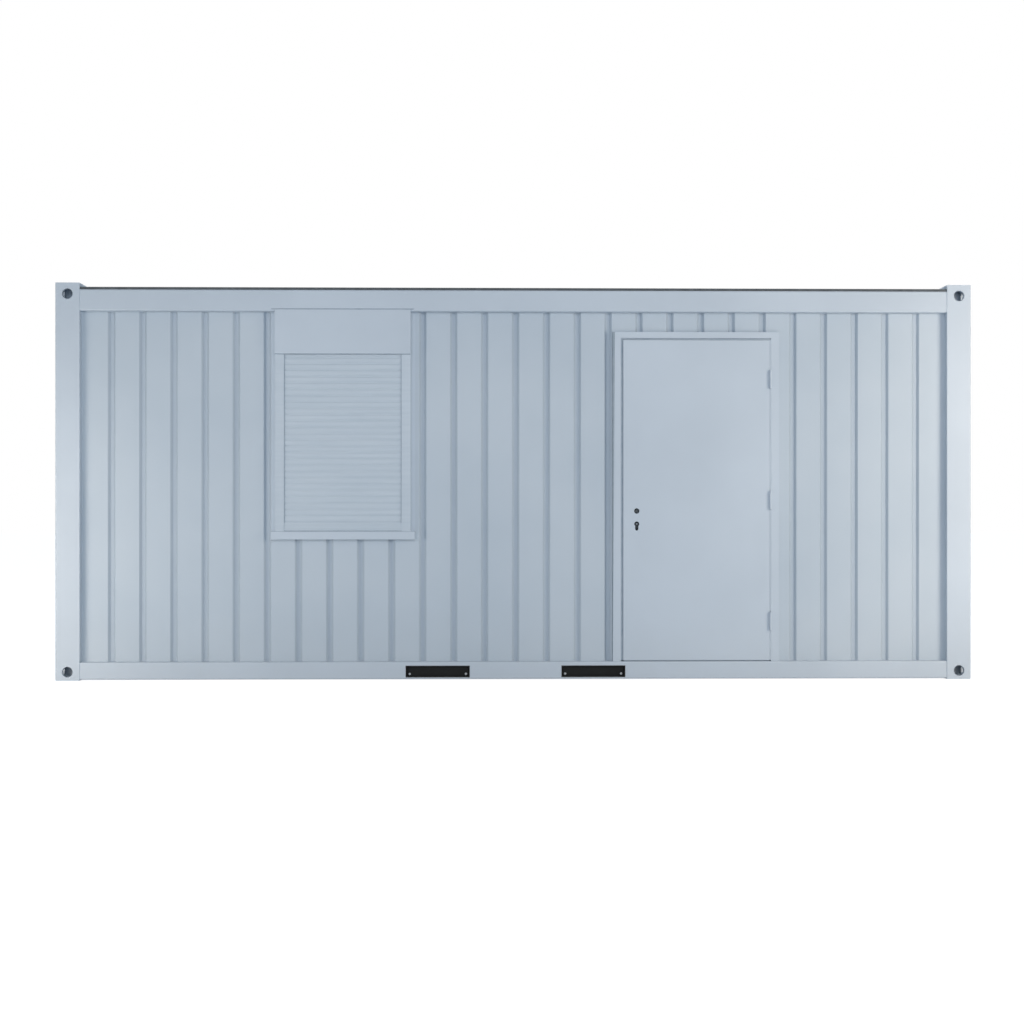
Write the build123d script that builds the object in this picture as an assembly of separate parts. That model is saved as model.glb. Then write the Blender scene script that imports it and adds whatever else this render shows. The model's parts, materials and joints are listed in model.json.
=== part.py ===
from build123d import *
import math
import os

# Modular office container, front long side towards -Y, standing on z = 0.
# The origin is the middle of the footprint, at the underside of the corner castings. Millimetres.

# Outer size
length = 6058
width = 2438
height = 2620

# Corner castings and posts
post_side = 160
post_wall = 4
post_edge_radius = 8
casting_height = 118
casting_plate = 22
casting_outer_wall = 28
casting_inner_wall = 12
casting_slot_length = 104
casting_slot_radius = 26
casting_hole_radius = 35
top_hole_drop = 73
bottom_hole_rise = 57
ramp_length = 33
ramp_inset = 30
ramp_width = 60

# Rails, folded C sections open to the inside
rail_setback = 3
rail_sheet = 4
fold_radius = 4
fold_step_count = 2
top_rail_height = 142
top_rail_drop = 42
bottom_rail_top = 120
ground_gap = 6
wide_flange = 106
narrow_flange = 62
edge_trim_height = 15
edge_trim_width = 58
edge_trim_setback = 4

# Fork pockets
pocket_spacing = 1030
pocket_width = 416
pocket_height = 70
pocket_floor = 21
pocket_wall = 4
cover_sheet = 4
cover_depth = 24
cover_gap = 5

# Walls, profiled outside
wall_recess = 48
wall_thickness = 61
lining_thickness = 10
groove_pitch = 205.5
groove_mouth = 51
groove_floor = 21
groove_depth = 15.5
long_wall_groove_count = 27
end_wall_groove_count = 10

# Floor
floor_board = 22
floor_top = 135
floor_gap = 2
bearer_width = 60
bearer_sheet = 3
bearers_per_bay = 4
middle_bearers = 2
bearer_margin = 120
underfloor_sheet = 2
underfloor_joint = 0.5

# Roof
ceiling_board = 10
ceiling_bearing = 40
roof_core = 110
roof_sheet = 2
roof_rib_margin = 269
roof_rib_base = 60
roof_rib_crown = 34
roof_rib_height = 18
roof_rib_count = 21

# Window with its roller shutter
window_centre = -1142
window_width = 950
window_height = 1228
window_head_drop = 463
window_profile = 66
window_frame_depth = 70
window_frame_proud = 5
sash_profile = 52
sash_depth = 60
sash_setback = 22
glass_thickness = 24
glass_lap = 14
sill_height = 54
sill_lip = 6
sill_fall = 4
guide_width = 60
guide_span = 896
guide_depth = 30
guide_slot = 14
guide_lip = 3
guide_web = 3
curtain_side_gap = 6
slat_pitch = 42
slat_thickness = 8
slat_crown = 2.5
slat_neck = 5
slat_back_groove = 1.5
slat_arc_step_count = 5
curtain_in_box = 60
end_bar_height = 56
end_bar_depth = 12
shutter_box_sheet = 3
shutter_box_lap = 10
shutter_box_lap_proud = 2
shutter_box_back = 30

# Door
door_left = 715
leaf_width = 976
leaf_bottom = 126
frame_head_drop = 314
leaf_thickness = 42
door_proud = 25
lock_side_gap = 16
hinge_side_gap = 8
head_gap = 14
frame_face = 54
frame_head_face = 40
frame_stop = 16
stop_gap = 5
threshold_height = 15
hinge_radius = 7.5
pin_radius = 5
pin_clearance = 0.05
hinge_offset = 9
hinge_plate = 2.5
hinge_plate_depth = 36
hinge_height = 120
hinge_joint_gap = 0.5
hinge_end_distance = 260
hinge_count = 3

# Lock
lock_backset = 90
follower_height = 1117
cylinder_height = 1031
follower_hole_radius = 18
cylinder_hole_radius = 17
cylinder_slot_width = 22
cylinder_slot_drop = 44
lock_case_thickness = 16
lock_case_depth = 125
lock_case_height = 200
lock_case_gap = 1
forend_width = 22
forend_height = 260
forend_sheet = 3
follower_square = 8
follower_ring_radius = 12
follower_ring_height = 6
cylinder_radius = 8.5
cylinder_web = 10
cylinder_drop = 24
cylinder_setback = 3

# Places worked out from the sizes above
half_length = length / 2
half_width = width / 2
post_x = half_length - post_side
post_y = half_width - post_side
rail_x = half_length - rail_setback
rail_y = half_width - rail_setback
top_rail_top = height - top_rail_drop
top_rail_bottom = top_rail_top - top_rail_height
rail_room = rail_sheet + fold_radius
crown_x = half_length - wall_recess
crown_y = half_width - wall_recess
core_x = crown_x - wall_thickness
core_y = crown_y - wall_thickness
room_x = core_x - lining_thickness
room_y = core_y - lining_thickness
ceiling_bottom = top_rail_bottom + rail_sheet
window_left = window_centre - window_width / 2
window_right = window_centre + window_width / 2
window_frame_top = height - window_head_drop
window_bottom = window_frame_top - window_height
door_front = -crown_y - door_proud
door_back = door_front + leaf_thickness
door_right = door_left + leaf_width
frame_top = height - frame_head_drop
leaf_top = frame_top - frame_head_face - head_gap
frame_left = door_left - lock_side_gap - frame_face
frame_right = door_right + hinge_side_gap + frame_face
hinge_x = door_right + hinge_side_gap / 2
hinge_y = door_front - hinge_offset


def block(x0, x1, y0, y1, z0, z1):
    """A box between two corners."""
    return Pos((x0 + x1) / 2, (y0 + y1) / 2, (z0 + z1) / 2) * Box(x1 - x0, y1 - y0, z1 - z0)


def bar_along_x(outline, x0, x1):
    """A section given as (y, z) points, run along X."""
    face = make_face(Plane.YZ.offset(x0) * Polyline(*outline, close=True))
    return extrude(face, x1 - x0, dir=(1, 0, 0))


def bar_along_y(outline, y0, y1):
    """A section given as (x, z) points, run along Y."""
    face = make_face(Plane.XZ.offset(-y0) * Polyline(*outline, close=True))
    return extrude(face, y1 - y0, dir=(0, 1, 0))


def bar_along_z(outline, z0, z1):
    """A section given as (x, y) points, run along Z."""
    face = make_face(Plane.XY.offset(z0) * Polyline(*outline, close=True))
    return extrude(face, z1 - z0, dir=(0, 0, 1))


def drill_y(x, z, radius, y0, y1):
    """A round cutter along Y."""
    return Pos(x, (y0 + y1) / 2, z) * Rot(90, 0, 0) * Cylinder(radius, y1 - y0)


def drill_x(y, z, radius, x0, x1):
    """A round cutter along X."""
    return Pos((x0 + x1) / 2, y, z) * Rot(0, 90, 0) * Cylinder(radius, x1 - x0)


def front_to_rear(shape):
    """The same shape turned half round the container's middle."""
    return Rot(0, 0, 180) * shape


# Corner castings and posts


def corner_casting(at_top):
    """The front right casting: a hollow block, a hole in each outer side and a slot in its end plate."""
    z0 = height - casting_height if at_top else 0
    z1 = z0 + casting_height
    body = block(post_x, half_length, -half_width, -post_y, z0, z1)
    outer_edges = body.edges().filter_by(Axis.Z).sort_by(Axis.X)[-2:].sort_by(Axis.Y)[:1]
    body = fillet(outer_edges, post_edge_radius)
    cavity = block(
        post_x + casting_inner_wall,
        half_length - casting_outer_wall,
        -half_width + casting_outer_wall,
        -post_y - casting_inner_wall,
        z0 + casting_inner_wall if at_top else z0 + casting_plate,
        z1 - casting_plate if at_top else z1 - casting_inner_wall,
    )
    hole_z = height - top_hole_drop if at_top else bottom_hole_rise
    middle_x = half_length - post_side / 2
    middle_y = -half_width + post_side / 2
    end_z = z1 - casting_plate / 2 if at_top else z0 + casting_plate / 2
    slot = SlotOverall(casting_slot_length, 2 * casting_slot_radius)
    slot_cutter = Pos(middle_x, middle_y, end_z) * extrude(slot, casting_plate, both=True)
    body = body - cavity
    body = body - drill_y(middle_x, hole_z, casting_hole_radius, -half_width, middle_y)
    body = body - drill_x(middle_y, hole_z, casting_hole_radius, middle_x, half_length)
    body = body - slot_cutter
    if at_top:
        trim_top = top_rail_top + edge_trim_height
        ramp = bar_along_y(
            [(post_x, trim_top), (post_x, height), (post_x - ramp_length, trim_top)],
            -half_width + ramp_inset,
            -half_width + ramp_inset + ramp_width,
        )
        body = body + ramp
    return body


def corner_post():
    """The front right post, a square tube with a rounded outer edge."""
    body = block(post_x, half_length, -half_width, -post_y, casting_height, height - casting_height)
    outer_edge = body.edges().filter_by(Axis.Z).sort_by(Axis.X)[-2:].sort_by(Axis.Y)[:1]
    body = fillet(outer_edge, post_edge_radius)
    hollow = block(
        post_x + post_wall,
        half_length - post_wall,
        -half_width + post_wall,
        -post_y - post_wall,
        casting_height,
        height - casting_height,
    )
    return body - hollow


def both_sides(shapes):
    """Pieces of the front or the right, together with the same ones of the rear or the left."""
    return Compound(children=shapes + [front_to_rear(shape) for shape in shapes])


def four_corners(shape):
    """A front right piece at all four corners of the container."""
    front_left = mirror(shape, Plane.YZ)
    rear_right = mirror(shape, Plane.XZ)
    return Compound(children=[shape, front_left, rear_right, front_to_rear(shape)])


def two_rear_corners(shape):
    """A front right piece at the two rear corners."""
    return Compound(children=[mirror(shape, Plane.XZ), front_to_rear(shape)])


# Rails


def bend(centre, radius, start, stop):
    """Points on the arc of a fold, from one angle in degrees to another."""
    points = []
    for step in range(fold_step_count + 1):
        angle = math.radians(start + (stop - start) * step / fold_step_count)
        points.append((centre[0] + radius * math.cos(angle), centre[1] + radius * math.sin(angle)))
    return points


def rail_outline(face, low, high, top_flange, bottom_flange):
    """A folded C section with its web at -face and its flanges towards the middle."""
    low_fold = (-face + rail_room, low + rail_room)
    high_fold = (-face + rail_room, high - rail_room)
    points = bend(low_fold, rail_room, 180, 270)
    points.append((-face + bottom_flange, low))
    points.append((-face + bottom_flange, low + rail_sheet))
    points = points + bend(low_fold, fold_radius, 270, 180)
    points = points + bend(high_fold, fold_radius, 180, 90)
    points.append((-face + top_flange, high - rail_sheet))
    points.append((-face + top_flange, high))
    return points + bend(high_fold, rail_room, 90, 180)


def top_rail_long():
    outline = rail_outline(rail_y, top_rail_bottom, top_rail_top, narrow_flange, wide_flange)
    return bar_along_x(outline, -post_x, post_x)


def top_rail_end():
    outline = rail_outline(rail_x, top_rail_bottom, top_rail_top, narrow_flange, wide_flange)
    return bar_along_y(outline, -post_y, post_y)


def pocket_centres():
    return [-pocket_spacing / 2, pocket_spacing / 2]


def bottom_rail_long():
    """Three lengths of the front bottom rail, beside and between the fork pockets."""
    outline = rail_outline(rail_y, ground_gap, bottom_rail_top, wide_flange, narrow_flange)
    inner_end = pocket_spacing / 2 - pocket_width / 2 - pocket_wall
    outer_end = pocket_spacing / 2 + pocket_width / 2 + pocket_wall
    left = bar_along_x(outline, -post_x, -outer_end)
    middle = bar_along_x(outline, -inner_end, inner_end)
    right = bar_along_x(outline, outer_end, post_x)
    return [left, middle, right]


def rail_bridges():
    """What is left of the front bottom rail over and under each fork pocket."""
    outline = rail_outline(rail_y, ground_gap, bottom_rail_top, wide_flange, narrow_flange)
    half_pocket = pocket_width / 2 + pocket_wall
    low = pocket_floor - pocket_wall
    high = pocket_floor + pocket_height + pocket_wall
    bridges = []
    for x in pocket_centres():
        rail = bar_along_x(outline, x - half_pocket, x + half_pocket)
        bridges.append(rail - block(x - half_pocket, x + half_pocket, -rail_y, -post_y, ground_gap, high))
        bridges.append(rail - block(x - half_pocket, x + half_pocket, -rail_y, -post_y, low, bottom_rail_top))
    return bridges


def bottom_rail_end():
    outline = rail_outline(rail_x, ground_gap, bottom_rail_top, wide_flange, narrow_flange)
    return bar_along_y(outline, -post_y, post_y)


def fork_pocket(x):
    """A rectangular tube across under the floor, from the front rail's face to the rear rail's."""
    half_inner = pocket_width / 2
    half_outer = half_inner + pocket_wall
    low = pocket_floor - pocket_wall
    high = pocket_floor + pocket_height + pocket_wall
    tube = block(x - half_outer, x + half_outer, -rail_y, rail_y, low, high)
    return tube - block(x - half_inner, x + half_inner, -rail_y, rail_y, pocket_floor, high - pocket_wall)


def fork_pocket_covers():
    """A plate set back in the front mouth of each pocket, standing on the pocket's floor."""
    covers = []
    for x in pocket_centres():
        half_plate = pocket_width / 2 - cover_gap
        plate = block(
            x - half_plate,
            x + half_plate,
            -rail_y + cover_depth,
            -rail_y + cover_depth + cover_sheet,
            pocket_floor,
            pocket_floor + pocket_height - cover_gap,
        )
        covers.append(plate)
    return covers


# Walls


def groove_points(start, stop, face, count):
    """Points of a profiled face at y = -face from start to stop, its grooves in a pattern centred on 0."""
    points = [(start, -face)]
    for i in range(count):
        centre = (i - (count - 1) / 2) * groove_pitch
        if centre - groove_mouth / 2 <= start or centre + groove_mouth / 2 >= stop:
            continue
        points.append((centre - groove_mouth / 2, -face))
        points.append((centre - groove_floor / 2, -face + groove_depth))
        points.append((centre + groove_floor / 2, -face + groove_depth))
        points.append((centre + groove_mouth / 2, -face))
    points.append((stop, -face))
    return points


def long_wall(x0, x1, z0, z1):
    outline = groove_points(x0, x1, crown_y, long_wall_groove_count)
    outline = outline + [(x1, -core_y), (x0, -core_y)]
    return bar_along_z(outline, z0, z1)


def end_wall():
    """The right end wall."""
    outline = groove_points(-post_y, post_y, crown_x, end_wall_groove_count)
    outline = outline + [(post_y, -core_x), (-post_y, -core_x)]
    return Rot(0, 0, 90) * bar_along_z(outline, bottom_rail_top, top_rail_bottom)


def front_lining():
    board = block(-post_x, post_x, -core_y, -room_y, floor_top, ceiling_bottom)
    window_hole = block(window_left, window_right, -core_y, -room_y, window_bottom, ceiling_bottom)
    door_hole = block(frame_left, frame_right, -core_y, -room_y, floor_top, frame_top)
    return board - window_hole - door_hole


def rear_lining():
    return block(-post_x, post_x, room_y, core_y, floor_top, ceiling_bottom)


def end_lining():
    return block(room_x, core_x, -post_y, post_y, floor_top, ceiling_bottom)


# Floor and roof


def notched_plate(x_wide, y_narrow, x_narrow, y_wide, z0, z1):
    """A plate with its four corners cut out for the posts."""
    plate = block(-x_wide, x_wide, -y_narrow, y_narrow, z0, z1)
    return plate + block(-x_narrow, x_narrow, -y_wide, y_wide, z0, z1)


def floor_panel():
    x_wide = rail_x - wide_flange - floor_gap
    y_wide = rail_y - wide_flange - floor_gap
    x_narrow = post_x - floor_gap
    y_narrow = post_y - floor_gap
    return notched_plate(x_wide, y_narrow, x_narrow, y_wide, floor_top - floor_board, floor_top)


def underfloor():
    """The sheet under the bearers and, beyond a joint, the strips that close it between the posts."""
    low = ground_gap + rail_sheet
    high = low + underfloor_sheet
    y_wide = rail_y - rail_room
    strip_start = post_x + underfloor_joint
    middle = block(-post_x, post_x, -y_wide, y_wide, low, high)
    strip = block(strip_start, rail_x - rail_room, -post_y, post_y, low, high)
    return Compound(children=[middle, strip, front_to_rear(strip)])


def bearer(x):
    """A folded C section across the floor, on the underfloor sheet and between the long rails."""
    low = ground_gap + rail_sheet + underfloor_sheet
    high = floor_top - floor_board
    left = x - bearer_width / 2
    right = x + bearer_width / 2
    outline = [
        (left, low),
        (right, low),
        (right, low + bearer_sheet),
        (left + bearer_sheet, low + bearer_sheet),
        (left + bearer_sheet, high - bearer_sheet),
        (right, high - bearer_sheet),
        (right, high),
        (left, high),
    ]
    end = rail_y - rail_room
    return bar_along_y(outline, -end, end)


def spread(start, stop, count):
    return [start + (stop - start) * i / (count - 1) for i in range(count)]


def floor_bearers():
    outer_start = pocket_spacing / 2 + pocket_width / 2 + bearer_margin
    outer_stop = post_x - bearer_margin
    middle_stop = pocket_spacing / 2 - pocket_width / 2 - bearer_margin
    outer = spread(outer_start, outer_stop, bearers_per_bay)
    middle = spread(-middle_stop, middle_stop, middle_bearers)
    places = [-x for x in outer] + middle + outer
    return Compound(children=[bearer(x) for x in places])


def ceiling_panel():
    x_wide = core_x + ceiling_bearing
    y_wide = core_y + ceiling_bearing
    return notched_plate(x_wide, post_y, post_x, y_wide, ceiling_bottom, ceiling_bottom + ceiling_board)


def roof_core_slab():
    low = ceiling_bottom + ceiling_board
    y_wide = rail_y - narrow_flange
    return block(-post_x, post_x, -y_wide, y_wide, low, low + roof_core)


def roof_end_filler():
    """The flat roof between the right corner posts."""
    low = ceiling_bottom + ceiling_board
    return block(post_x, rail_x - narrow_flange, -post_y, post_y, low, low + roof_core + roof_sheet)


def roof_sheeting():
    """Sheeting with trapezoid ribs across the roof."""
    low = ceiling_bottom + ceiling_board + roof_core
    lower = [(-post_x, low)]
    outer_rib = post_x - roof_rib_margin
    for centre in spread(-outer_rib, outer_rib, roof_rib_count):
        lower.append((centre - roof_rib_base / 2, low))
        lower.append((centre - roof_rib_crown / 2, low + roof_rib_height))
        lower.append((centre + roof_rib_crown / 2, low + roof_rib_height))
        lower.append((centre + roof_rib_base / 2, low))
    lower.append((post_x, low))
    upper = [(x, z + roof_sheet) for x, z in reversed(lower)]
    y_wide = rail_y - narrow_flange
    return bar_along_y(lower + upper, -y_wide, y_wide)


def roof_edge_trims():
    """Dark strips on the front and right rails' top flanges, between the castings."""
    low = top_rail_top
    high = low + edge_trim_height
    y0 = -rail_y + edge_trim_setback
    x1 = rail_x - edge_trim_setback
    front = block(-post_x, post_x, y0, y0 + edge_trim_width, low, high)
    right = block(x1 - edge_trim_width, x1, -post_y, post_y, low, high)
    return [front, right]


# Window and roller shutter


def ring_along_y(x0, x1, z0, z1, face_width, y0, y1):
    """A rectangular ring seen from the front."""
    outer = block(x0, x1, y0, y1, z0, z1)
    return outer - block(x0 + face_width, x1 - face_width, y0, y1, z0 + face_width, z1 - face_width)


def window_face():
    """Y of the window frame's outer face, a little proud of the wall's crowns."""
    return -crown_y - window_frame_proud


def window_frame():
    y0 = window_face()
    y1 = y0 + window_frame_depth
    return ring_along_y(window_left, window_right, window_bottom, window_frame_top, window_profile, y0, y1)


def window_sash():
    """The opening light, inside the frame's ring and standing a little into the room."""
    fit = window_profile
    y0 = window_face() + sash_setback
    x0 = window_left + fit
    x1 = window_right - fit
    z0 = window_bottom + fit
    z1 = window_frame_top - fit
    body = ring_along_y(x0, x1, z0, z1, sash_profile, y0, y0 + sash_depth)
    pane_y = y0 + (sash_depth - glass_thickness) / 2
    inset = sash_profile - glass_lap
    seat = block(x0 + inset, x1 - inset, pane_y, pane_y + glass_thickness, z0 + inset, z1 - inset)
    return body - seat, seat


def shutter_guides():
    """Two channels on the window frame that the curtain's ends run in."""
    y1 = window_face()
    y0 = y1 - guide_depth
    half = guide_span / 2
    slot_depth = guide_width - guide_web
    low = window_bottom + sill_height
    right = block(half - guide_width, half, y0, y1, low, window_frame_top)
    slot = block(
        half - guide_width,
        half - guide_width + slot_depth,
        y0 + guide_lip,
        y0 + guide_lip + guide_slot,
        low,
        window_frame_top,
    )
    right = Pos(window_centre, 0, 0) * (right - slot)
    left = mirror(right, Plane.YZ.offset(window_centre))
    return Compound(children=[left, right])


def curtain_middle_y():
    """Y of the curtain's middle plane, halfway across the guides' slot."""
    return window_face() - guide_depth + guide_lip + guide_slot / 2


def slat_face(low):
    """Outer face of one slat in (y, z) points from bottom to top: a neck, then a crowned arc."""
    neck = curtain_middle_y() - slat_thickness / 2 + slat_crown
    start = low + slat_neck
    points = [(neck, low), (neck, start)]
    for step in range(1, slat_arc_step_count):
        share = step / slat_arc_step_count
        rise = slat_crown * (1 - (2 * share - 1) ** 4)
        points.append((neck - rise, start + share * (slat_pitch - slat_neck)))
    points.append((neck, low + slat_pitch))
    return points


def slat_back(low):
    """Inner face of one slat from top to bottom, with the groove where it hooks on the next."""
    back = curtain_middle_y() + slat_thickness / 2
    return [
        (back, low + slat_pitch),
        (back, low + slat_neck),
        (back - slat_back_groove, low + slat_neck),
        (back - slat_back_groove, low),
        (back, low),
    ]


def shutter_curtain():
    """The closed curtain of slats, from the end bar up into the box."""
    low = window_bottom + sill_height + end_bar_height
    high = window_frame_top + curtain_in_box
    count = int((high - low) / slat_pitch)
    outline = []
    for i in range(count):
        face = slat_face(low + i * slat_pitch)
        outline = outline + (face if i == count - 1 else face[:-1])
    for i in reversed(range(count)):
        back = slat_back(low + i * slat_pitch)
        outline = outline + (back if i == 0 else back[:-1])
    half = guide_span / 2 - guide_web - curtain_side_gap
    return bar_along_x(outline, window_centre - half, window_centre + half)


def shutter_end_bar():
    low = window_bottom + sill_height
    middle = curtain_middle_y()
    half = guide_span / 2 - guide_web - curtain_side_gap
    body = block(
        window_centre - half,
        window_centre + half,
        middle - end_bar_depth / 2,
        middle + end_bar_depth / 2,
        low,
        low + end_bar_height,
    )
    return body


def window_sill():
    """The sill under the shutter, sloped to shed water."""
    y1 = window_face()
    y0 = y1 - guide_depth - sill_lip
    low = window_bottom
    high = window_bottom + sill_height
    outline = [(y1, low), (y1, high), (y0 + sill_lip, high), (y0, high - sill_fall), (y0, low)]
    return bar_along_x(outline, window_left, window_right)


def shutter_box():
    """A box of folded sheet over the window, its outer plate lapping the rail above."""
    y0 = -rail_y
    y1 = window_face() + window_frame_depth
    low = window_frame_top
    high = top_rail_bottom
    half = guide_span / 2
    shell = block(window_left, window_right, -crown_y, y1, low, high)
    front = block(window_centre - half, window_centre + half, y0, -crown_y, low, high)
    shell = shell + front
    room = shutter_box_sheet
    hollow = block(
        window_centre - half + room,
        window_centre + half - room,
        y0 + room,
        y1 - shutter_box_back,
        low + room,
        high - room,
    )
    middle = curtain_middle_y()
    slot = block(
        window_centre - half + room,
        window_centre + half - room,
        middle - guide_slot / 2,
        middle + guide_slot / 2,
        low,
        low + room,
    )
    lap = block(
        window_centre - half,
        window_centre + half,
        y0 - shutter_box_lap_proud,
        y0,
        low,
        high + shutter_box_lap,
    )
    return shell - hollow - slot + lap


# Door


def door_jamb(face_x, outward):
    """A jamb: a face strip, a reveal beside the leaf and a stop behind it. outward is +1 on the right."""
    outer = face_x + outward * frame_face
    stop = face_x - outward * (frame_stop + (lock_side_gap if outward < 0 else hinge_side_gap))
    stop_y = door_back + stop_gap
    outline = [
        (outer, door_front),
        (face_x, door_front),
        (face_x, stop_y),
        (stop, stop_y),
        (stop, -core_y),
        (outer, -core_y),
    ]
    return bar_along_z(outline, bottom_rail_top, leaf_top + head_gap)


def door_head():
    stop_y = door_back + stop_gap
    low = leaf_top + head_gap
    outline = [
        (door_front, low),
        (door_front, frame_top),
        (-core_y, frame_top),
        (-core_y, low),
    ]
    body = bar_along_x(outline, frame_left, frame_right)
    stop = block(
        door_left + frame_stop,
        door_right - frame_stop,
        stop_y,
        -core_y,
        leaf_top - frame_stop,
        low,
    )
    return body + stop


def threshold():
    stop_y = door_back + stop_gap
    top = bottom_rail_top + threshold_height
    return block(door_left + frame_stop, door_right - frame_stop, stop_y, -core_y, bottom_rail_top, top)


def door_leaf():
    body = block(door_left, door_right, door_front, door_back, leaf_bottom, leaf_top)
    middle = (door_front + door_back) / 2
    x = door_left + lock_backset
    z = (follower_height + cylinder_height) / 2
    half_case = lock_case_thickness / 2 + lock_case_gap
    half_height = lock_case_height / 2 + lock_case_gap
    mortise = block(
        door_left, door_left + lock_case_depth + lock_case_gap, middle - half_case, middle + half_case,
        z - half_height, z + half_height,
    )
    forend = block(
        door_left, door_left + forend_sheet, middle - forend_width / 2, middle + forend_width / 2,
        z - forend_height / 2, z + forend_height / 2,
    )
    body = body - mortise - forend
    body = body - drill_y(x, follower_height, follower_hole_radius, door_front - 1, door_back + 1)
    body = body - drill_y(x, cylinder_height, cylinder_hole_radius, door_front - 1, door_back + 1)
    slot = block(
        x - cylinder_slot_width / 2, x + cylinder_slot_width / 2, door_front - 1, door_back + 1,
        cylinder_height - cylinder_slot_drop + cylinder_slot_width / 2, cylinder_height,
    )
    slot_end = drill_y(
        x, cylinder_height - cylinder_slot_drop + cylinder_slot_width / 2, cylinder_slot_width / 2,
        door_front - 1, door_back + 1,
    )
    return body - slot - slot_end


def door_lock():
    """The lock in its mortise: case, forend, follower ring and profile cylinder."""
    middle = (door_front + door_back) / 2
    x = door_left + lock_backset
    z = (follower_height + cylinder_height) / 2
    case = block(
        door_left + forend_sheet, door_left + lock_case_depth,
        middle - lock_case_thickness / 2, middle + lock_case_thickness / 2,
        z - lock_case_height / 2, z + lock_case_height / 2,
    )
    forend = block(
        door_left, door_left + forend_sheet, middle - forend_width / 2, middle + forend_width / 2,
        z - forend_height / 2, z + forend_height / 2,
    )
    half_ring = lock_case_thickness / 2 + follower_ring_height
    ring = drill_y(x, follower_height, follower_ring_radius, middle - half_ring, middle + half_ring)
    half_cylinder = leaf_thickness / 2 - cylinder_setback
    barrel = drill_y(x, cylinder_height, cylinder_radius, middle - half_cylinder, middle + half_cylinder)
    web = block(
        x - cylinder_web / 2, x + cylinder_web / 2, middle - half_cylinder, middle + half_cylinder,
        cylinder_height - cylinder_drop, cylinder_height,
    )
    square = block(
        x - follower_square / 2, x + follower_square / 2, middle - half_ring, middle + half_ring,
        follower_height - follower_square / 2, follower_height + follower_square / 2,
    )
    return case + forend + ring + barrel + web - square


def hinge_heights():
    low = leaf_bottom + hinge_end_distance
    high = leaf_top - hinge_end_distance
    return spread(low, high, hinge_count)


def hinge_post_half(z):
    """Lower knuckle with the pin standing on it, and a plate in the gap against the frame's reveal."""
    half = hinge_height / 2
    knuckle = Pos(hinge_x, hinge_y, z - half / 2) * Cylinder(hinge_radius, half)
    pin = Pos(hinge_x, hinge_y, z) * Cylinder(pin_radius, hinge_height)
    x1 = door_right + hinge_side_gap
    plate = block(x1 - hinge_plate, x1, hinge_y, hinge_y + hinge_plate_depth, z - half, z)
    return knuckle + plate + pin


def hinge_leaf_half(z):
    """Upper knuckle, bored for the pin, and a plate on the leaf's edge."""
    half = hinge_height / 2
    low = z + hinge_joint_gap
    high = z + half
    knuckle = Pos(hinge_x, hinge_y, (low + high) / 2) * Cylinder(hinge_radius, high - low)
    plate = block(door_right, door_right + hinge_plate, hinge_y, hinge_y + hinge_plate_depth, low, high)
    bore = Pos(hinge_x, hinge_y, z) * Cylinder(pin_radius + pin_clearance, 2 * hinge_height)
    return knuckle + plate - bore


# The finished pieces, one file each

pieces = {}
pieces["top_corner_castings"] = four_corners(corner_casting(True))
bottom_casting = corner_casting(False)
pieces["bottom_casting_front_right"] = bottom_casting
pieces["bottom_casting_front_left"] = mirror(bottom_casting, Plane.YZ)
pieces["bottom_castings_rear"] = two_rear_corners(bottom_casting)
pieces["corner_posts"] = four_corners(corner_post())
pieces["top_long_rails"] = both_sides([top_rail_long()])
pieces["top_end_rails"] = both_sides([top_rail_end()])
pieces["bottom_long_rails"] = both_sides(bottom_rail_long())
pieces["bottom_rail_bridges"] = both_sides(rail_bridges())
pieces["bottom_end_rails"] = both_sides([bottom_rail_end()])
pieces["fork_pocket_left"] = fork_pocket(-pocket_spacing / 2)
pieces["fork_pocket_right"] = fork_pocket(pocket_spacing / 2)
pieces["fork_pocket_covers"] = both_sides(fork_pocket_covers())
pieces["floor_bearers"] = floor_bearers()
pieces["underfloor_sheet"] = underfloor()
pieces["floor_panel"] = floor_panel()
pieces["ceiling_panel"] = ceiling_panel()
pieces["roof_core"] = roof_core_slab()
pieces["roof_sheet"] = roof_sheeting()
pieces["roof_end_fillers"] = both_sides([roof_end_filler()])
pieces["roof_edge_trims"] = both_sides(roof_edge_trims())
pieces["front_wall_left"] = long_wall(-post_x, window_left, bottom_rail_top, top_rail_bottom)
pieces["front_wall_under_window"] = long_wall(window_left, window_right, bottom_rail_top, window_bottom)
pieces["front_wall_middle"] = long_wall(window_right, frame_left, bottom_rail_top, top_rail_bottom)
pieces["front_wall_over_door"] = long_wall(frame_left, frame_right, frame_top, top_rail_bottom)
pieces["front_wall_right"] = long_wall(frame_right, post_x, bottom_rail_top, top_rail_bottom)
pieces["rear_wall"] = front_to_rear(long_wall(-post_x, post_x, bottom_rail_top, top_rail_bottom))
pieces["end_walls"] = both_sides([end_wall()])
linings = [front_lining(), rear_lining(), end_lining(), front_to_rear(end_lining())]
pieces["inner_linings"] = Compound(children=linings)
pieces["window_frame"] = window_frame()
sash, glass = window_sash()
pieces["window_sash"] = sash
pieces["window_glass"] = glass
pieces["window_sill"] = window_sill()
pieces["shutter_box"] = shutter_box()
pieces["shutter_guides"] = shutter_guides()
pieces["shutter_curtain"] = shutter_curtain()
pieces["shutter_end_bar"] = shutter_end_bar()
pieces["door_jamb_left"] = door_jamb(door_left - lock_side_gap, -1)
pieces["door_jamb_right"] = door_jamb(door_right + hinge_side_gap, 1)
pieces["door_head"] = door_head()
pieces["door_threshold"] = threshold()
pieces["door_leaf"] = door_leaf()
pieces["door_lock"] = door_lock()
pieces["door_hinge_posts"] = Compound(children=[hinge_post_half(z) for z in hinge_heights()])
pieces["door_hinge_knuckles"] = Compound(children=[hinge_leaf_half(z) for z in hinge_heights()])

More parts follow.
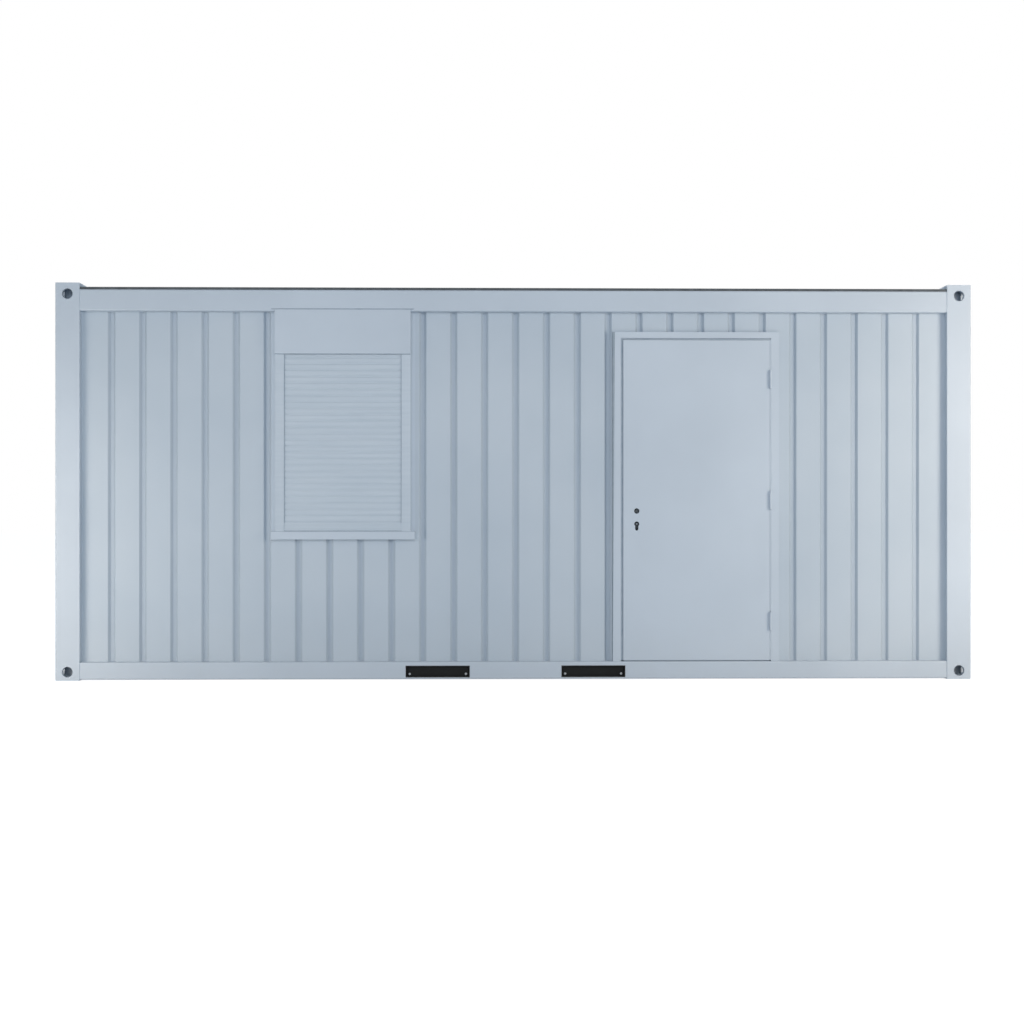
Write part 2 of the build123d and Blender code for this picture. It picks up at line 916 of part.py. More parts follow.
os.makedirs("parts", exist_ok=True)
for name, shape in pieces.items():
    export_step(shape, f"parts/{name}.step")
print(len(pieces), "pieces")
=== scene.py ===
import json
import math

import bmesh
import bpy
from mathutils import Matrix, Vector


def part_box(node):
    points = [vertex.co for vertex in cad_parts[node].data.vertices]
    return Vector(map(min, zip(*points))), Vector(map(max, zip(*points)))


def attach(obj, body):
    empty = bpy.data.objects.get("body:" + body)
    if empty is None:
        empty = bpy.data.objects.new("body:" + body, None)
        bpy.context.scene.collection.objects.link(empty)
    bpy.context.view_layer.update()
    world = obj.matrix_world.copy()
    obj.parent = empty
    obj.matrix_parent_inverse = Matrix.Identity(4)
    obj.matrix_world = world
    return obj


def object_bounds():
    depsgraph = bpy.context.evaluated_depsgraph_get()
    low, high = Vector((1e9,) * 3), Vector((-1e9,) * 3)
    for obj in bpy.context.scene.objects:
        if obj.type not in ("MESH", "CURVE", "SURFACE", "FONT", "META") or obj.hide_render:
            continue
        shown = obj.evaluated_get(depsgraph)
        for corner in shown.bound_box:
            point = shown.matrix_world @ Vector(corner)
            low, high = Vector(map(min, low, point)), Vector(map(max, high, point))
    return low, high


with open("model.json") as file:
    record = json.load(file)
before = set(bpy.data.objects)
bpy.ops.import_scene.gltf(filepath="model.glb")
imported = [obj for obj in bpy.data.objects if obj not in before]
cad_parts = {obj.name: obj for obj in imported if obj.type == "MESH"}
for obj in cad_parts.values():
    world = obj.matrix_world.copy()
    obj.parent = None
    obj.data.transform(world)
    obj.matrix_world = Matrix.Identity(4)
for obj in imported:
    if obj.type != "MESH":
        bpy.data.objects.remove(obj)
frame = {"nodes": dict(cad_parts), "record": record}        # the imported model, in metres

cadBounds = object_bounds()
nodes = frame["nodes"]
mm = 0.001
print("frame loaded:", len(nodes), "nodes")


# Colour and node helpers

def hexColour(text, alpha=1.0):  # sRGB hex to the linear values that shaders work in
    values = [int(text[i:i + 2], 16) / 255 for i in (1, 3, 5)]
    linear = [v / 12.92 if v <= 0.04045 else ((v + 0.055) / 1.055) ** 2.4 for v in values]
    return (*linear, alpha)


def addNode(tree, kind, settings=None, links=None):  # links: socket name or number -> (node, output)
    node = tree.nodes.new(kind)
    for name, value in (settings or {}).items():
        if isinstance(name, str) and hasattr(node, name):
            setattr(node, name, value)
        else:
            node.inputs[name].default_value = value
    for name, (source, output) in (links or {}).items():
        tree.links.new(source.outputs[output], node.inputs[name])
    return node


def newMaterial(name, shader):  # one Principled shader, set from typical values, and object coordinates
    material = bpy.data.materials.new(name)
    material.use_nodes = True
    tree = material.node_tree
    tree.nodes.clear()
    surface = addNode(tree, "ShaderNodeBsdfPrincipled", shader)
    addNode(tree, "ShaderNodeOutputMaterial", {}, {"Surface": (surface, "BSDF")})
    place = addNode(tree, "ShaderNodeTexCoord")
    return material, tree, surface, (place, "Object")


def ramp(tree, factor, low, high, colours):  # from one colour to another over part of a pattern's range
    node = addNode(tree, "ShaderNodeValToRGB", {}, {"Fac": factor})
    for element, position, colour in zip(node.color_ramp.elements, (low, high), colours):
        element.position = position
        element.color = hexColour(colour)
    return node


def noise(tree, place, size, detail=2.0, rough=0.5):  # a cloudy pattern whose largest clouds are size across
    return addNode(tree, "ShaderNodeTexNoise", {"Scale": 1 / size, "Detail": detail, "Roughness": rough},
                   {"Vector": place})


def blendColour(tree, share, low, high):  # mixes two colours, each a hex text or a socket
    node = addNode(tree, "ShaderNodeMix", {"data_type": "RGBA"}, {0: share})
    for socket, colour in ((6, low), (7, high)):
        if isinstance(colour, str):
            node.inputs[socket].default_value = hexColour(colour)
        else:
            tree.links.new(colour[0].outputs[colour[1]], node.inputs[socket])
    return node


def shaded(tree, surface, patterns):  # stacks (pattern, height in metres) bumps into the surface's normal
    last = None
    for factor, height in patterns:
        links = {"Height": factor}
        if last:
            links["Normal"] = (last, "Normal")
        last = addNode(tree, "ShaderNodeBump", {"Strength": 1.0, "Distance": height}, links)
    tree.links.new(last.outputs["Normal"], surface.inputs["Normal"])


# Materials

enamelSpec = {
    "colour": "#b2bfca",       # light grey-blue
    "shade": "#abb9c5",
    "frameColour": "#b6c3cf",  # posts and rails are a touch lighter
    "frameShade": "#b0bdc9",
    "dust": "#b7b5ab",
    "cloud": 900 * mm,         # slow drift of tone over a sheet
    "peel": 6 * mm,            # orange peel, really 2 mm, drawn coarser so that it shows
    "peelHeight": 0.03 * mm,
    "wave": 380 * mm,          # oil canning of thin sheet
    "waveHeight": 0.35 * mm,
    "dustTop": 0.5,            # m above ground where splashed dust fades out
    "dustShare": 0.16,
    "grimeAndShade": "#8393a3",        # painted shade in the walls' grooves
    "floorShade": 0.22,        # share of painted shade on a groove's floor
    "slopeShade": 0.36,        # half of this is added halfway down a groove's slopes
    "grooveDepth": 15.5 * mm,
}


def grooveShadeShare(tree, split):  # how much painted shade: none on the faces, most in the grooves
    faces = {"X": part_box("end_walls")[1].x, "Y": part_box("rear_wall")[1].y}
    depths = []
    for axis, face in faces.items():
        out = addNode(tree, "ShaderNodeMath", {"operation": "ABSOLUTE"}, {0: (split, axis)})
        reach = {"From Min": face, "From Max": face - enamelSpec["grooveDepth"]}
        depths.append(addNode(tree, "ShaderNodeMapRange", reach, {"Value": (out, "Value")}))
    depth = addNode(tree, "ShaderNodeMath", {"operation": "MINIMUM"},
                    {0: (depths[0], "Result"), 1: (depths[1], "Result")})
    slope = addNode(tree, "ShaderNodeMath", {"operation": "PINGPONG", 1: 0.5}, {0: (depth, "Value")})
    low = addNode(tree, "ShaderNodeMath", {"operation": "MULTIPLY", 1: enamelSpec["floorShade"]},
                  {0: (depth, "Value")})
    return addNode(tree, "ShaderNodeMath", {"operation": "MULTIPLY_ADD", 1: enamelSpec["slopeShade"]},
                   {0: (slope, "Value"), 2: (low, "Value")})


def sprayedEnamel(name, shade, colour, waves=1.0, grooveShaded=False):
    # enamel sprayed on sheet steel: even and half gloss, faint orange peel, dust splashed low down
    spec = enamelSpec
    material, tree, surface, place = newMaterial(name, {"Roughness": 0.45, "IOR": 1.5})
    cloud = noise(tree, place, spec["cloud"], 3.0)
    tone = ramp(tree, (cloud, "Fac"), 0.35, 0.65, (spec[shade], spec[colour]))
    split = addNode(tree, "ShaderNodeSeparateXYZ", {}, {"Vector": place})
    fade = {"From Max": spec["dustTop"], "To Min": spec["dustShare"], "To Max": 0.0}
    low = addNode(tree, "ShaderNodeMapRange", fade, {"Value": (split, "Z")})
    fleck = noise(tree, place, 70 * mm, 6.0, 0.7)
    dust = addNode(tree, "ShaderNodeMath", {"operation": "MULTIPLY"}, {0: (low, "Result"), 1: (fleck, "Fac")})
    dustAndGrooveShade = blendColour(tree, (dust, "Value"), (tone, "Color"), spec["dust"])
    # on the walls, painted shade darkens the grooves' floors and most of all their slopes
    if grooveShaded:
        dustAndGrooveShade = blendColour(tree, (grooveShadeShare(tree, split), "Value"), (dustAndGrooveShade, 2), spec["grimeAndShade"])
    tree.links.new(dustAndGrooveShade.outputs[2], surface.inputs["Base Color"])
    gloss = addNode(tree, "ShaderNodeMapRange", {"To Min": 0.38, "To Max": 0.54}, {"Value": (fleck, "Fac")})
    tree.links.new(gloss.outputs["Result"], surface.inputs["Roughness"])
    peel = noise(tree, place, spec["peel"], 2.0)
    wave = noise(tree, place, spec["wave"], 1.0)
    shaded(tree, surface, [((wave, "Fac"), spec["waveHeight"] * waves), ((peel, "Fac"), spec["peelHeight"])])
    return material


def castEnamel(name):
    # the same paint over cast steel: the grain of the casting shows through
    material = sprayedEnamel(name, "frameShade", "frameColour", 0.3)
    tree = material.node_tree
    surface = next(n for n in tree.nodes if n.type == "BSDF_PRINCIPLED")
    place = next(n for n in tree.nodes if n.type == "TEX_COORD")
    grain = noise(tree, (place, "Object"), 9 * mm, 4.0, 0.6)
    pits = noise(tree, (place, "Object"), 30 * mm, 2.0)
    shaded(tree, surface, [((pits, "Fac"), 0.5 * mm), ((grain, "Fac"), 0.25 * mm)])
    return material


def blackSeal(name):
    # EPDM strip: dull black, slightly grey where it has weathered
    material, tree, surface, place = newMaterial(name, {"Roughness": 0.78, "IOR": 1.5})
    weather = noise(tree, place, 45 * mm, 5.0, 0.6)
    tone = ramp(tree, (weather, "Fac"), 0.35, 0.75, ("#15181a", "#23282b"))
    tree.links.new(tone.outputs["Color"], surface.inputs["Base Color"])
    grain = noise(tree, place, 3 * mm)
    shaded(tree, surface, [((grain, "Fac"), 0.08 * mm)])
    return material


def greySeal(name, low, high):
    # extruded TPE strip in a shade of grey: matt, a little chalky where it has weathered
    material, tree, surface, place = newMaterial(name, {"Roughness": 0.72, "IOR": 1.5})
    weather = noise(tree, place, 60 * mm, 5.0, 0.6)
    tone = ramp(tree, (weather, "Fac"), 0.35, 0.75, (low, high))
    tree.links.new(tone.outputs["Color"], surface.inputs["Base Color"])
    grain = noise(tree, place, 3 * mm)
    shaded(tree, surface, [((grain, "Fac"), 0.06 * mm)])
    return material


def blackenedSteel(name):
    # phosphated and oiled steel: dark grey, dull, mottled
    material, tree, surface, place = newMaterial(name, {"Metallic": 1.0, "Roughness": 0.5})
    mottle = noise(tree, place, 12 * mm, 5.0, 0.65)
    tone = ramp(tree, (mottle, "Fac"), 0.35, 0.7, ("#26292c", "#3c4145"))
    tree.links.new(tone.outputs["Color"], surface.inputs["Base Color"])
    gloss = addNode(tree, "ShaderNodeMapRange", {"To Min": 0.42, "To Max": 0.6}, {"Value": (mottle, "Fac")})
    tree.links.new(gloss.outputs["Result"], surface.inputs["Roughness"])
    shaded(tree, surface, [((mottle, "Fac"), 0.04 * mm)])
    return material


def blackCover(name):
    # pressed steel plate in black powder coat: near black with a fine orange peel
    shader = {"Roughness": 0.6, "IOR": 1.5, "Specular IOR Level": 0.2}
    material, tree, surface, place = newMaterial(name, shader)
    dust = noise(tree, place, 90 * mm, 6.0, 0.7)
    tone = ramp(tree, (dust, "Fac"), 0.4, 0.85, ("#070909", "#0f1212"))
    tree.links.new(tone.outputs["Color"], surface.inputs["Base Color"])
    peel = noise(tree, place, 4 * mm)
    shaded(tree, surface, [((peel, "Fac"), 0.04 * mm)])
    return material


def bitumenPaint(name):
    # brushed bitumen: brownish black, brush streaks across the container's width, dust on it
    material, tree, surface, place = newMaterial(name, {"Roughness": 0.6, "IOR": 1.5})
    stretch = addNode(tree, "ShaderNodeMapping", {"Scale": (1.0, 0.08, 1.0)}, {"Vector": place})
    streak = noise(tree, (stretch, "Vector"), 8 * mm, 3.0)
    dust = noise(tree, place, 120 * mm, 5.0, 0.65)
    tone = ramp(tree, (dust, "Fac"), 0.45, 0.8, ("#1b1d1e", "#35342f"))
    tree.links.new(tone.outputs["Color"], surface.inputs["Base Color"])
    shaded(tree, surface, [((streak, "Fac"), 0.15 * mm)])
    return material


def galvanisedSheet(name):
    # hot-dip zinc: flat grains of spangle, each a slightly different grey and gloss
    material, tree, surface, place = newMaterial(name, {"Metallic": 1.0, "Roughness": 0.42})
    spangle = addNode(tree, "ShaderNodeTexVoronoi", {"Scale": 1 / (14 * mm)}, {"Vector": place})
    split = addNode(tree, "ShaderNodeSeparateColor", {}, {"Color": (spangle, "Color")})
    grimeAndShade = noise(tree, place, 350 * mm, 5.0, 0.6)
    tone = ramp(tree, (split, 0), 0.0, 1.0, ("#b0b5b7", "#c8cccd"))
    dull = ramp(tree, (grimeAndShade, "Fac"), 0.3, 0.85, ("#ffffff", "#b3b0a8"))
    mixed = addNode(tree, "ShaderNodeMix", {"data_type": "RGBA", "blend_type": "MULTIPLY", 0: 1.0},
                    {6: (tone, "Color"), 7: (dull, "Color")})
    tree.links.new(mixed.outputs[2], surface.inputs["Base Color"])
    gloss = addNode(tree, "ShaderNodeMapRange", {"To Min": 0.34, "To Max": 0.55}, {"Value": (split, 1)})
    tree.links.new(gloss.outputs["Result"], surface.inputs["Roughness"])
    shaded(tree, surface, [((split, 0), 0.02 * mm), ((grimeAndShade, "Fac"), 0.3 * mm)])
    return material


def coatedSlat(name):
    # coil-coated aluminium: the walls' colour a little fresher, smooth and half gloss
    material, tree, surface, place = newMaterial(name, {"Roughness": 0.38, "IOR": 1.5})
    stretch = addNode(tree, "ShaderNodeMapping", {"Scale": (0.05, 1.0, 1.0)}, {"Vector": place})
    streak = noise(tree, (stretch, "Vector"), 20 * mm, 3.0)
    tone = ramp(tree, (streak, "Fac"), 0.3, 0.7, ("#adbbc7", "#b3c0cb"))
    tree.links.new(tone.outputs["Color"], surface.inputs["Base Color"])
    grain = noise(tree, place, 5 * mm)
    shaded(tree, surface, [((grain, "Fac"), 0.02 * mm)])
    return material


def extrudedWindowPlastic(name):
    # uPVC profile: white, smooth, with the faint drawing lines of extrusion
    material, tree, surface, place = newMaterial(name, {"Roughness": 0.28, "IOR": 1.53})
    cloud = noise(tree, place, 250 * mm, 4.0)
    tone = ramp(tree, (cloud, "Fac"), 0.3, 0.7, ("#e6e8e7", "#efefed"))
    tree.links.new(tone.outputs["Color"], surface.inputs["Base Color"])
    grain = noise(tree, place, 2 * mm)
    shaded(tree, surface, [((grain, "Fac"), 0.01 * mm)])
    return material


def floatGlass(name):
    # float glass: clear with a hint of green, a little dust on it
    shader = {"Roughness": 0.02, "IOR": 1.52, "Transmission Weight": 1.0}
    material, tree, surface, place = newMaterial(name, shader)
    dust = noise(tree, place, 180 * mm, 6.0, 0.7)
    tone = ramp(tree, (dust, "Fac"), 0.3, 0.9, ("#eef6f3", "#dfe8e5"))
    tree.links.new(tone.outputs["Color"], surface.inputs["Base Color"])
    film = addNode(tree, "ShaderNodeMapRange", {"To Min": 0.01, "To Max": 0.09}, {"Value": (dust, "Fac")})
    tree.links.new(film.outputs["Result"], surface.inputs["Roughness"])
    return material


def coatedBoard(name):
    # melamine-faced chipboard: off-white with a fine pressed grain
    material, tree, surface, place = newMaterial(name, {"Roughness": 0.5, "IOR": 1.5})
    cloud = noise(tree, place, 500 * mm, 4.0)
    tone = ramp(tree, (cloud, "Fac"), 0.3, 0.7, ("#dedcd4", "#e7e5de"))
    tree.links.new(tone.outputs["Color"], surface.inputs["Base Color"])
    pressed = noise(tree, place, 3 * mm, 3.0)
    shaded(tree, surface, [((pressed, "Fac"), 0.05 * mm)])
    return material


def fleckedFloor(name):
    # rolled vinyl floor: mid grey with light and dark flecks of 3 to 6 mm
    material, tree, surface, place = newMaterial(name, {"Roughness": 0.42, "IOR": 1.52})
    fleck = addNode(tree, "ShaderNodeTexVoronoi", {"Scale": 1 / (5 * mm)}, {"Vector": place})
    split = addNode(tree, "ShaderNodeSeparateColor", {}, {"Color": (fleck, "Color")})
    tone = ramp(tree, (split, 0), 0.1, 0.9, ("#7d8284", "#989c9c"))
    wear = noise(tree, place, 600 * mm, 5.0, 0.6)
    worn = ramp(tree, (wear, "Fac"), 0.35, 0.8, ("#ffffff", "#cfcac0"))
    mixed = addNode(tree, "ShaderNodeMix", {"data_type": "RGBA", "blend_type": "MULTIPLY", 0: 1.0},
                    {6: (tone, "Color"), 7: (worn, "Color")})
    tree.links.new(mixed.outputs[2], surface.inputs["Base Color"])
    shaded(tree, surface, [((split, 1), 0.03 * mm), ((wear, "Fac"), 0.2 * mm)])
    return material


def mineralWool(name):
    # needled mineral wool: yellow-brown felted fibres
    material, tree, surface, place = newMaterial(name, {"Roughness": 0.95, "IOR": 1.45})
    fibre = noise(tree, place, 12 * mm, 8.0, 0.75)
    tone = ramp(tree, (fibre, "Fac"), 0.3, 0.7, ("#8d8152", "#b9ab74"))
    tree.links.new(tone.outputs["Color"], surface.inputs["Base Color"])
    shaded(tree, surface, [((fibre, "Fac"), 2 * mm)])
    return material


def zincPlatedSteel(name, low, high):
    # zinc-plated steel: brushed grey metal with fine scratches, darker where handled
    material, tree, surface, place = newMaterial(name, {"Metallic": 1.0, "Roughness": 0.34})
    stretch = addNode(tree, "ShaderNodeMapping", {"Scale": (1.0, 1.0, 0.06)}, {"Vector": place})
    scratch = noise(tree, (stretch, "Vector"), 1.5 * mm, 3.0)
    tone = ramp(tree, (scratch, "Fac"), 0.3, 0.7, (low, high))
    tree.links.new(tone.outputs["Color"], surface.inputs["Base Color"])
    gloss = addNode(tree, "ShaderNodeMapRange", {"To Min": 0.26, "To Max": 0.46}, {"Value": (scratch, "Fac")})
    tree.links.new(gloss.outputs["Result"], surface.inputs["Roughness"])
    shaded(tree, surface, [((scratch, "Fac"), 0.02 * mm)])
    return material


wallEnamel = sprayedEnamel("sprayedEnamelWall", "shade", "colour", grooveShaded=True)
frameEnamel = sprayedEnamel("sprayedEnamelFrame", "frameShade", "frameColour", 0.35)
castingEnamel = castEnamel("castSteelEnamel")
sealBlack = blackSeal("weatheredBlackSeal")
roofEdging = greySeal("weatheredRoofEdging", "#3f454a", "#575e63")
# seal grey, matched to the shade in the door gap: a real seal colour that is also painted shade where it
# fills gaps
greySealAndShade = greySeal("greySealAndPaintedShade", "#95a4b2", "#a6b3be")
# painted shade along the left jamb's outer edge
jambShadeGrey = greySeal("paintedJambShade", "#8594a0", "#93a0ab")
blackSteel = blackenedSteel("phosphatedSteel")
coverBlack = blackCover("powderCoatedBlackPlate")
bitumenBlack = bitumenPaint("brushedBitumen")
zincSheet = galvanisedSheet("galvanisedSheet")
slatCoat = coatedSlat("coatedAluminiumSlat")
windowWhite = extrudedWindowPlastic("extrudedWindowPlastic")
glassClear = floatGlass("floatGlass")
boardWhite = coatedBoard("coatedChipboard")
vinylGrey = fleckedFloor("fleckedVinylFloor")
woolBrown = mineralWool("mineralWool")
zincSteel = zincPlatedSteel("zincPlatedSteel", "#8e9193", "#a9acad")
dullSteel = zincPlatedSteel("handledSteel", "#565b5f", "#74797d")

bySlot = {
    "painted_steel": frameEnamel,
    "dark_trim": sealBlack,
    "dark_steel": bitumenBlack,
    "galvanised_sheet": zincSheet,
    "shutter_aluminium": slatCoat,
    "window_plastic": windowWhite,
    "window_glass": glassClear,
    "lining_board": boardWhite,
    "floor_covering": vinylGrey,
    "insulation": woolBrown,
    "lock_steel": zincSteel,
    "hinge_steel": frameEnamel,
}
wallNodes = [name for name in nodes if name.startswith(("front_wall", "rear_wall", "end_walls"))]
castingNodes = [name for name in nodes if "casting" in name]


def dressCadNodes():
    slotOf = {piece["node"]: piece["material_slot"] for piece in frame["record"]["subparts"]}
    for name, node in nodes.items():
        material = bySlot[slotOf[name]]
        if name in wallNodes:
            material = wallEnamel
        if name in castingNodes:
            material = castingEnamel
        if name == "fork_pocket_covers":
            material = coverBlack
        if name == "roof_edge_trims":
            material = roofEdging
        if name == "door_lock":
            material = blackSteel
        for materialSlot in node.material_slots:
            materialSlot.material = material


dressCadNodes()
print("materials on", len(nodes), "CAD nodes")


# Pieces beyond the frame

def pieceFrom(name, mesh, material, body):  # a finished bmesh as an object that rides a body
    data = bpy.data.meshes.new(name)
    bmesh.ops.recalc_face_normals(mesh, faces=mesh.faces)
    mesh.to_mesh(data)
    mesh.free()
    piece = bpy.data.objects.new(name, data)
    bpy.context.scene.collection.objects.link(piece)
    data.materials.append(material)
    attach(piece, body)
    return piece


def addLathe(mesh, profile, place, segments=24):  # turns (radius, height) points about place's own Z
    rings = []
    for radius, height in profile:
        ring = []
        for i in range(segments):
            angle = 2 * math.pi * i / segments
            point = Vector((radius * math.cos(angle), radius * math.sin(angle), height))
            ring.append(mesh.verts.new(place @ point))
        rings.append(ring)
    for lower, upper in zip(rings, rings[1:]):
        for i in range(segments):
            j = (i + 1) % segments
            mesh.faces.new((lower[i], lower[j], upper[j], upper[i]))
    mesh.faces.new(rings[0][::-1])
    mesh.faces.new(rings[-1])


def facing(position, direction):  # a placement whose Z points along direction
    turn = Vector(direction).to_track_quat("Z", "Y").to_matrix().to_4x4()
    return Matrix.Translation(position) @ turn


def addPrism(mesh, outline, axis, start, stop):  # a closed outline in the other two axes, run along one axis
    order = {"x": (2, 0, 1), "y": (0, 2, 1), "z": (0, 1, 2)}[axis]
    ends = []
    for along in (start, stop):
        ring = []
        for first, second in outline:
            values = (first, second, along)
            ring.append(mesh.verts.new((values[order[0]], values[order[1]], values[order[2]])))
        ends.append(ring)
    count = len(outline)
    for i in range(count):
        j = (i + 1) % count
        mesh.faces.new((ends[0][i], ends[0][j], ends[1][j], ends[1][i]))
    mesh.faces.new(ends[0][::-1])
    mesh.faces.new(ends[1])


def chamferedBox(a0, a1, b0, b1, cut):  # an outline with its four corners cut
    return [(a0 + cut, b0), (a1 - cut, b0), (a1, b0 + cut), (a1, b1 - cut),
            (a1 - cut, b1), (a0 + cut, b1), (a0, b1 - cut), (a0, b0 + cut)]


def addRing(mesh, profile, place, segments=32):  # a closed (radius, height) profile turned into a ring
    rings = []
    for radius, height in profile:
        ring = []
        for i in range(segments):
            angle = 2 * math.pi * i / segments
            point = Vector((radius * math.cos(angle), radius * math.sin(angle), height))
            ring.append(mesh.verts.new(place @ point))
        rings.append(ring)
    for lower, upper in zip(rings, rings[1:] + rings[:1]):
        for i in range(segments):
            j = (i + 1) % segments
            mesh.faces.new((lower[i], lower[j], upper[j], upper[i]))


boltSpec = {
    "washer": 8 * mm,
    "washerHeight": 1.5 * mm,
    "head": 6 * mm,
    "headHeight": 4 * mm,
    "chamfer": 1 * mm,
    "inset": 17 * mm,          # from the cover plate's lower corners
    "coverWidth": 406 * mm,
}


def addBolt(mesh, place, spec):  # hexagon head on a round washer
    washer = [(spec["washer"], 0.0), (spec["washer"], spec["washerHeight"] * 0.8),
              (spec["washer"] * 0.94, spec["washerHeight"])]
    addLathe(mesh, washer, place, 16)
    low = spec["washerHeight"]
    high = low + spec["headHeight"]
    head = [(spec["head"], low), (spec["head"], high - spec["chamfer"]),
            (spec["head"] - spec["chamfer"], high)]
    addLathe(mesh, head, place, 6)


def makeCoverBolts():
    spec = boltSpec
    low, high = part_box("fork_pocket_covers")
    mesh = bmesh.new()
    for plateLeft in (low.x, high.x - spec["coverWidth"]):
        for x in (plateLeft + spec["inset"], plateLeft + spec["coverWidth"] - spec["inset"]):
            addBolt(mesh, facing((x, low.y, low.z + spec["inset"]), (0, -1, 0)), spec)
            addBolt(mesh, facing((x, high.y, low.z + spec["inset"]), (0, 1, 0)), spec)
    pieceFrom("coverBolts", mesh, zincSteel, "container")


sealSpec = {
    "setBack": 5 * mm,          # behind the leaf's face
    "depth": 14 * mm,
    "cut": 3 * mm,
    "lockSide": 15 * mm,        # how far each strip reaches into its gap
    "head": 12.5 * mm,
    "hingeSide": 7 * mm,
    "hingeSetBack": 1 * mm,
    "hingeMargin": 3 * mm,
    "lockGap": 16 * mm,         # open gap beside the leaf
    "hingeGap": 8 * mm,
    "hingeHalf": 60 * mm,       # half the length of a hinge
}


def makeDoorSeals():  # grey seals at the lock side and the head, their grey-blue also painted shade in the door gap; painted strips between the hinges
    spec = sealSpec
    leafLow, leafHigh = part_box("door_leaf")
    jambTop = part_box("door_jamb_left")[1].z
    leftFace = leafLow.x - spec["lockGap"]
    rightFace = leafHigh.x + spec["hingeGap"]
    y0 = leafLow.y + spec["setBack"]
    y1 = y0 + spec["depth"]
    mesh = bmesh.new()
    lock = chamferedBox(leftFace, leftFace + spec["lockSide"], y0, y1, spec["cut"])
    addPrism(mesh, lock, "z", leafLow.z, jambTop)
    head = chamferedBox(y0, y1, jambTop - spec["head"], jambTop, spec["cut"])
    addPrism(mesh, head, "x", leftFace + spec["lockSide"], rightFace)
    hingeFront = leafLow.y + spec["hingeSetBack"]
    hinge = chamferedBox(rightFace - spec["hingeSide"], rightFace, hingeFront, y1, spec["cut"] / 3)
    hingeLow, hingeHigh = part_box("door_hinge_posts")
    middle = (hingeLow.z + hingeHigh.z) / 2
    reach = spec["hingeHalf"] + spec["hingeMargin"]
    centres = [hingeLow.z + spec["hingeHalf"], middle, hingeHigh.z - spec["hingeHalf"]]
    stops = [leafLow.z] + [z + side for z in centres for side in (-reach, reach)] + [jambTop - spec["head"]]
    strips = bmesh.new()
    for bottom, top in zip(stops[::2], stops[1::2]):
        addPrism(strips, hinge, "z", bottom, top)
    pieceFrom("doorSeals", mesh, greySealAndShade, "container")
    pieceFrom("hingeSideStrips", strips, frameEnamel, "container")


jambShadeSpec = {
    "lapLow": 1 * mm,           # over the jamb's face at the foot
    "lapHigh": 14 * mm,         # and at the head
    "proud": 1.2 * mm,
    "wide": 2 * mm,
    "back": 24 * mm,
}


def makeJambShadeStrip():  # painted shade: a grey-blue strip over the left jamb's outer edge, its lap wider towards the head as photographed
    spec = jambShadeSpec
    low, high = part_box("door_head")
    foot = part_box("door_jamb_left")[0].z
    front = low.y
    left = low.x
    lap = left + spec["lapLow"]
    back = front + spec["back"]
    mesh = bmesh.new()
    side = [(lap, front), (lap, front - spec["proud"]), (left, front - spec["proud"]),
            (left - spec["wide"], back), (left, back), (left, front)]
    addPrism(mesh, side, "z", foot, high.z)
    widening = (spec["lapHigh"] - spec["lapLow"]) / (high.z - foot)
    for corner in mesh.verts:
        if corner.co.x > left + spec["lapLow"] / 2:
            corner.co.x += widening * (corner.co.z - foot)
    pieceFrom("jambShadeStrip", mesh, jambShadeGrey, "container")


bottomSealSpec = {
    "drop": 5 * mm,
    "sideInset": 3 * mm,
    "frontInset": 5 * mm,
    "depth": 24 * mm,
    "lip": 4 * mm,
}


def makeBottomSeal():  # a ribbed strip under the leaf, 1 mm above the rail
    spec = bottomSealSpec
    low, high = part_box("door_leaf")
    y0 = low.y + spec["frontInset"]
    y1 = y0 + spec["depth"]
    z, drop, lip = low.z, spec["drop"], spec["lip"]
    outline = [(y0, z), (y0, z - drop * 0.6), (y0 + lip, z - drop), (y0 + lip * 2, z - drop * 0.5),
               (y1 - lip, z - drop * 0.5), (y1, z - drop), (y1, z)]
    mesh = bmesh.new()
    addPrism(mesh, outline, "x", low.x + spec["sideInset"], high.x - spec["sideInset"])
    pieceFrom("doorBottomSeal", mesh, greySealAndShade, "door")


lockSpec = {
    "x": 805 * mm,
    "followerZ": 1117 * mm,
    "cylinderZ": 1031 * mm,
    "ringProud": 14 * mm,       # follower ring's end from the leaf's middle plane
    "cylinderProud": 18 * mm,
    "collarOuter": 12.4 * mm,
    "collarInner": 9.6 * mm,
    "lip": 7.4 * mm,
    "collarHeight": 1.2 * mm,
    "plug": 6.6 * mm,
    "plugHeight": 0.8 * mm,
    "keyWide": 1.5 * mm,
    "keyTall": 8 * mm,
    "forendScrew": 4.2 * mm,
    "forendReach": 118 * mm,    # the forend's screws above and below its middle
    "screwSink": 0.4 * mm,
    "screwRim": 0.3 * mm,
    "screwRise": 0.6 * mm,
    "crossWide": 0.6 * mm,
    "crossTall": 3 * mm,
    "crossCut": 0.3 * mm,
    "crossRise": 0.7 * mm,
}


